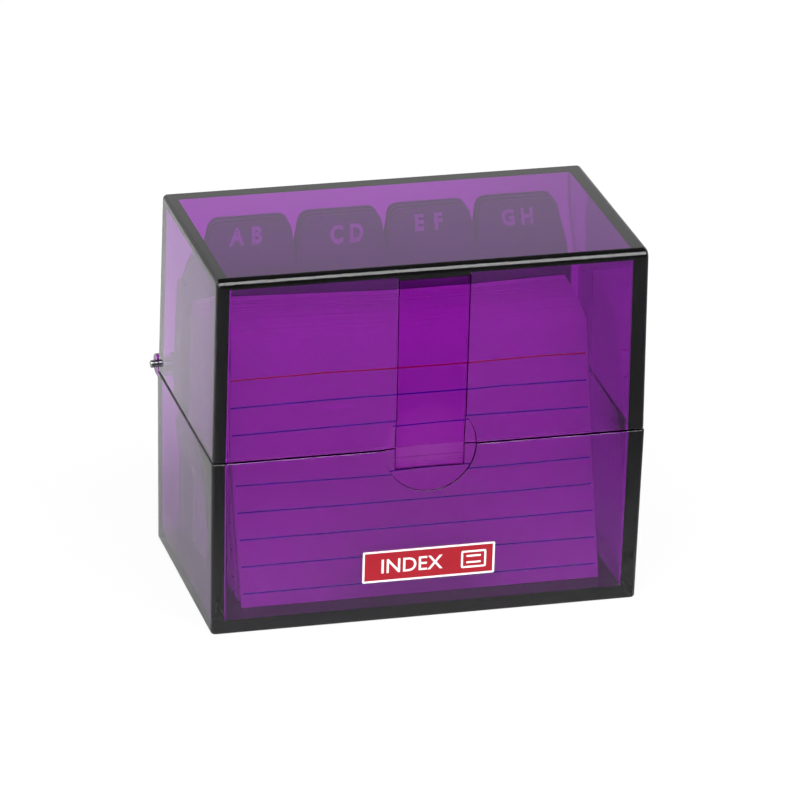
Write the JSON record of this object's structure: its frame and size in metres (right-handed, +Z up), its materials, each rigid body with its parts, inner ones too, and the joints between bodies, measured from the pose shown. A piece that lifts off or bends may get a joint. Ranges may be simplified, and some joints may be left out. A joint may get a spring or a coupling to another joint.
{
  "type": "index card box",
  "caption": "Transparent plastic box for A8 index cards, with a lid hinged at the back, a sprung latch strip in front, tabbed letter dividers and ruled cards that tip forward.",
  "frame": {"origin": "centre of the flat underside of the tray", "axes": "+Z up, +X to the right along the long side, -Y to the front where the latch is"},
  "size_m": [0.0904, 0.054, 0.0756],
  "materials": {
    "clear_polystyrene": "clear purple polystyrene, polished mould",
    "pin_steel": "bright drawn steel wire",
    "label_film": "printed film, satin",
    "card_paper": "white index card, ruled",
    "divider_board": "grey polypropylene sheet, fine matt grain"
  },
  "bodies": {
    "tray": {"base_tray": "clear_polystyrene", "front_label": "label_film", "left_hinge_pin": "pin_steel", "right_hinge_pin": "pin_steel"},
    "lid": {"lid": "clear_polystyrene"},
    "latch": {"latch_strip": "clear_polystyrene"},
    "card_pack_1": {"card_pack_1": "card_paper"},
    "card_pack_2": {"card_pack_2": "card_paper"},
    "card_pack_3": {"card_pack_3": "card_paper"},
    "card_pack_4": {"card_pack_4": "card_paper"},
    "card_pack_5": {"card_pack_5": "card_paper"},
    "card_pack_6": {"card_pack_6": "card_paper"},
    "card_pack_7": {"card_pack_7": "card_paper"},
    "card_pack_8": {"card_pack_8": "card_paper"},
    "card_pack_9": {"card_pack_9": "card_paper"},
    "card_pack_10": {"card_pack_10": "card_paper"},
    "divider_ab": {"divider_ab": "divider_board"},
    "divider_cd": {"divider_cd": "divider_board"},
    "divider_ef": {"divider_ef": "divider_board"},
    "divider_gh": {"divider_gh": "divider_board"},
    "divider_ij": {"divider_ij": "divider_board"},
    "divider_kl": {"divider_kl": "divider_board"},
    "divider_mn": {"divider_mn": "divider_board"},
    "divider_op": {"divider_op": "divider_board"},
    "divider_qr": {"divider_qr": "divider_board"},
    "divider_st": {"divider_st": "divider_board"},
    "divider_uv": {"divider_uv": "divider_board"},
    "divider_wz": {"divider_wz": "divider_board"}
  },
  "joints": [
    {"name": "lid_hinge", "type": "hinge", "parent": "tray", "child": "lid", "pos_m": [0, 0.02715, 0.0374], "axis": [-1, 0, 0], "range_deg": [0, 109]},
    {"name": "latch_flex", "type": "hinge", "parent": "lid", "child": "latch", "pos_m": [0, -0.02206, 0.0729], "axis": [-1, 0, 0], "range_deg": [0, 2.5], "stiffness_Nm_per_rad": 0.3},
    {"name": "card_pack_1_tip", "type": "hinge", "parent": "tray", "child": "card_pack_1", "pos_m": [0.001, -0.0172, 0.0026], "axis": [1, 0, 0], "range_deg": [0, 23.5]},
    {"name": "card_pack_2_tip", "type": "hinge", "parent": "tray", "child": "card_pack_2", "pos_m": [0.001, -0.01375, 0.0026], "axis": [1, 0, 0], "range_deg": [0, 23.5]},
    {"name": "card_pack_3_tip", "type": "hinge", "parent": "tray", "child": "card_pack_3", "pos_m": [0.001, -0.0103, 0.0026], "axis": [1, 0, 0], "range_deg": [0, 23.5]},
    {"name": "card_pack_4_tip", "type": "hinge", "parent": "tray", "child": "card_pack_4", "pos_m": [0.001, -0.00685, 0.0026], "axis": [1, 0, 0], "range_deg": [0, 23.5]},
    {"name": "card_pack_5_tip", "type": "hinge", "parent": "tray", "child": "card_pack_5", "pos_m": [0.001, -0.00339, 0.0026], "axis": [1, 0, 0], "range_deg": [0, 23.5]},
    {"name": "card_pack_6_tip", "type": "hinge", "parent": "tray", "child": "card_pack_6", "pos_m": [0.001, 0.00006, 0.0026], "axis": [1, 0, 0], "range_deg": [0, 23.5]},
    {"name": "card_pack_7_tip", "type": "hinge", "parent": "tray", "child": "card_pack_7", "pos_m": [0.001, 0.00351, 0.0026], "axis": [1, 0, 0], "range_deg": [0, 23.5]},
    {"name": "card_pack_8_tip", "type": "hinge", "parent": "tray", "child": "card_pack_8", "pos_m": [0.001, 0.00696, 0.0026], "axis": [1, 0, 0], "range_deg": [0, 23.5]},
    {"name": "card_pack_9_tip", "type": "hinge", "parent": "tray", "child": "card_pack_9", "pos_m": [0.001, 0.01041, 0.0026], "axis": [1, 0, 0], "range_deg": [0, 23.5]},
    {"name": "card_pack_10_tip", "type": "hinge", "parent": "tray", "child": "card_pack_10", "pos_m": [0.001, 0.01386, 0.0026], "axis": [1, 0, 0], "range_deg": [0, 23.5]},
    {"name": "divider_ab_tip", "type": "hinge", "parent": "tray", "child": "divider_ab", "pos_m": [0.001, 0.01722, 0.0026], "axis": [1, 0, 0], "range_deg": [0, 23.5]},
    {"name": "divider_cd_tip", "type": "hinge", "parent": "tray", "child": "divider_cd", "pos_m": [0.001, 0.01762, 0.0026], "axis": [1, 0, 0], "range_deg": [0, 23.5]},
    {"name": "divider_ef_tip", "type": "hinge", "parent": "tray", "child": "divider_ef", "pos_m": [0.001, 0.01802, 0.0026], "axis": [1, 0, 0], "range_deg": [0, 23.5]},
    {"name": "divider_gh_tip", "type": "hinge", "parent": "tray", "child": "divider_gh", "pos_m": [0.001, 0.01842, 0.0026], "axis": [1, 0, 0], "range_deg": [0, 23.5]},
    {"name": "divider_ij_tip", "type": "hinge", "parent": "tray", "child": "divider_ij", "pos_m": [0.001, 0.01882, 0.0026], "axis": [1, 0, 0], "range_deg": [0, 23.5]},
    {"name": "divider_kl_tip", "type": "hinge", "parent": "tray", "child": "divider_kl", "pos_m": [0.001, 0.01922, 0.0026], "axis": [1, 0, 0], "range_deg": [0, 23.5]},
    {"name": "divider_mn_tip", "type": "hinge", "parent": "tray", "child": "divider_mn", "pos_m": [0.001, 0.01962, 0.0026], "axis": [1, 0, 0], "range_deg": [0, 23.5]},
    {"name": "divider_op_tip", "type": "hinge", "parent": "tray", "child": "divider_op", "pos_m": [0.001, 0.02002, 0.0026], "axis": [1, 0, 0], "range_deg": [0, 23.5]},
    {"name": "divider_qr_tip", "type": "hinge", "parent": "tray", "child": "divider_qr", "pos_m": [0.001, 0.02042, 0.0026], "axis": [1, 0, 0], "range_deg": [0, 23.5]},
    {"name": "divider_st_tip", "type": "hinge", "parent": "tray", "child": "divider_st", "pos_m": [0.001, 0.02082, 0.0026], "axis": [1, 0, 0], "range_deg": [0, 23.5]},
    {"name": "divider_uv_tip", "type": "hinge", "parent": "tray", "child": "divider_uv", "pos_m": [0.001, 0.02122, 0.0026], "axis": [1, 0, 0], "range_deg": [0, 23.5]},
    {"name": "divider_wz_tip", "type": "hinge", "parent": "tray", "child": "divider_wz", "pos_m": [0.001, 0.02162, 0.0026], "axis": [1, 0, 0], "range_deg": [0, 23.5]}
  ],
  "couplings": [
    {"joint": "card_pack_2_tip", "follows": "card_pack_1_tip", "ratio": 1},
    {"joint": "card_pack_3_tip", "follows": "card_pack_1_tip", "ratio": 1},
    {"joint": "card_pack_4_tip", "follows": "card_pack_1_tip", "ratio": 1},
    {"joint": "card_pack_5_tip", "follows": "card_pack_1_tip", "ratio": 1},
    {"joint": "card_pack_6_tip", "follows": "card_pack_1_tip", "ratio": 1},
    {"joint": "card_pack_7_tip", "follows": "card_pack_1_tip", "ratio": 1},
    {"joint": "card_pack_8_tip", "follows": "card_pack_1_tip", "ratio": 1},
    {"joint": "card_pack_9_tip", "follows": "card_pack_1_tip", "ratio": 1},
    {"joint": "card_pack_10_tip", "follows": "card_pack_1_tip", "ratio": 1},
    {"joint": "divider_ab_tip", "follows": "card_pack_1_tip", "ratio": 1},
    {"joint": "divider_cd_tip", "follows": "card_pack_1_tip", "ratio": 1},
    {"joint": "divider_ef_tip", "follows": "card_pack_1_tip", "ratio": 1},
    {"joint": "divider_gh_tip", "follows": "card_pack_1_tip", "ratio": 1},
    {"joint": "divider_ij_tip", "follows": "card_pack_1_tip", "ratio": 1},
    {"joint": "divider_kl_tip", "follows": "card_pack_1_tip", "ratio": 1},
    {"joint": "divider_mn_tip", "follows": "card_pack_1_tip", "ratio": 1},
    {"joint": "divider_op_tip", "follows": "card_pack_1_tip", "ratio": 1},
    {"joint": "divider_qr_tip", "follows": "card_pack_1_tip", "ratio": 1},
    {"joint": "divider_st_tip", "follows": "card_pack_1_tip", "ratio": 1},
    {"joint": "divider_uv_tip", "follows": "card_pack_1_tip", "ratio": 1},
    {"joint": "divider_wz_tip", "follows": "card_pack_1_tip", "ratio": 1}
  ]
}
